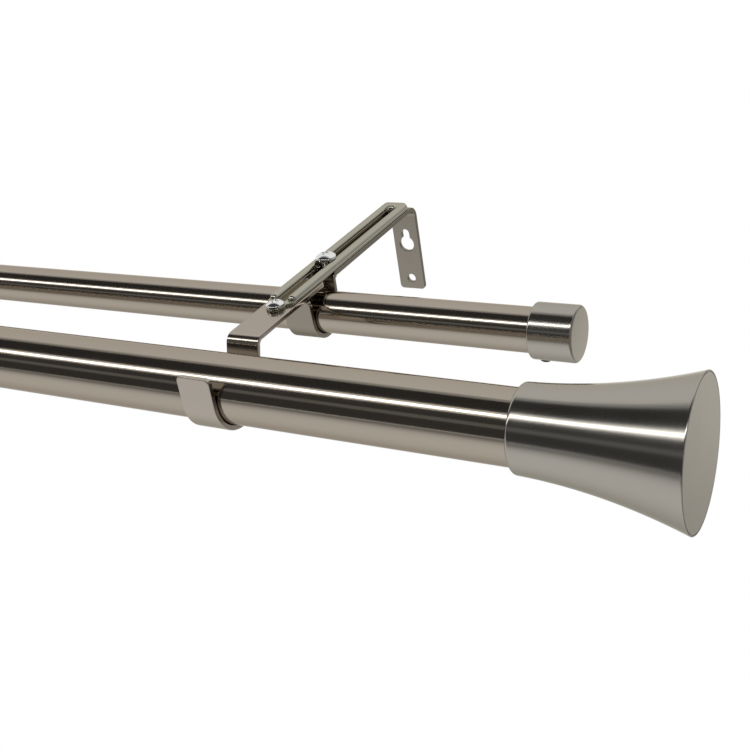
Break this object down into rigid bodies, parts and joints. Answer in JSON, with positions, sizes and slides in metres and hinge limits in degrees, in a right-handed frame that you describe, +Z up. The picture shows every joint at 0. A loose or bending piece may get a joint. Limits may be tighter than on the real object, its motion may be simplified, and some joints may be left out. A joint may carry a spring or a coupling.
{
  "type": "double curtain pole",
  "caption": "Front curtain pole with flared finials and a thinner rear pole with plain caps, held in line on wall brackets whose reach is set by a clamped slotted rail.",
  "frame": {"origin": "on the wall plane, midway between the two lower fixing holes of the wall brackets", "axes": "+X along the poles, +Y into the wall, +Z up"},
  "size_m": [1.0214, 0.1972, 0.0609],
  "materials": {
    "satin_nickel": "brushed",
    "bright_zinc": "bright plated",
    "black_oxide": "blackened"
  },
  "bodies": {
    "wall_side": {"rear_pole": "satin_nickel", "wall_bracket_left": "satin_nickel", "end_cap_left": "satin_nickel", "rail_screw_left": "bright_zinc", "rail_nut_left": "bright_zinc", "cap_set_screw_left": "black_oxide", "wall_bracket_right": "satin_nickel", "end_cap_right": "satin_nickel", "rail_screw_right": "bright_zinc", "rail_nut_right": "bright_zinc", "cap_set_screw_right": "black_oxide"},
    "front_side": {"front_pole": "satin_nickel", "front_hook_left": "satin_nickel", "slotted_rail_left": "satin_nickel", "finial_left": "satin_nickel", "finial_disc_left": "satin_nickel", "reach_screw_left": "bright_zinc", "reach_nut_left": "bright_zinc", "finial_set_screw_left": "black_oxide", "front_hook_right": "satin_nickel", "slotted_rail_right": "satin_nickel", "finial_right": "satin_nickel", "finial_disc_right": "satin_nickel", "reach_screw_right": "bright_zinc", "reach_nut_right": "bright_zinc", "finial_set_screw_right": "black_oxide"}
  },
  "joints": [
    {"name": "front_reach", "type": "slide", "parent": "wall_side", "child": "front_side", "axis": [0, -1, 0], "range_m": [0, 0.064]}
  ]
}
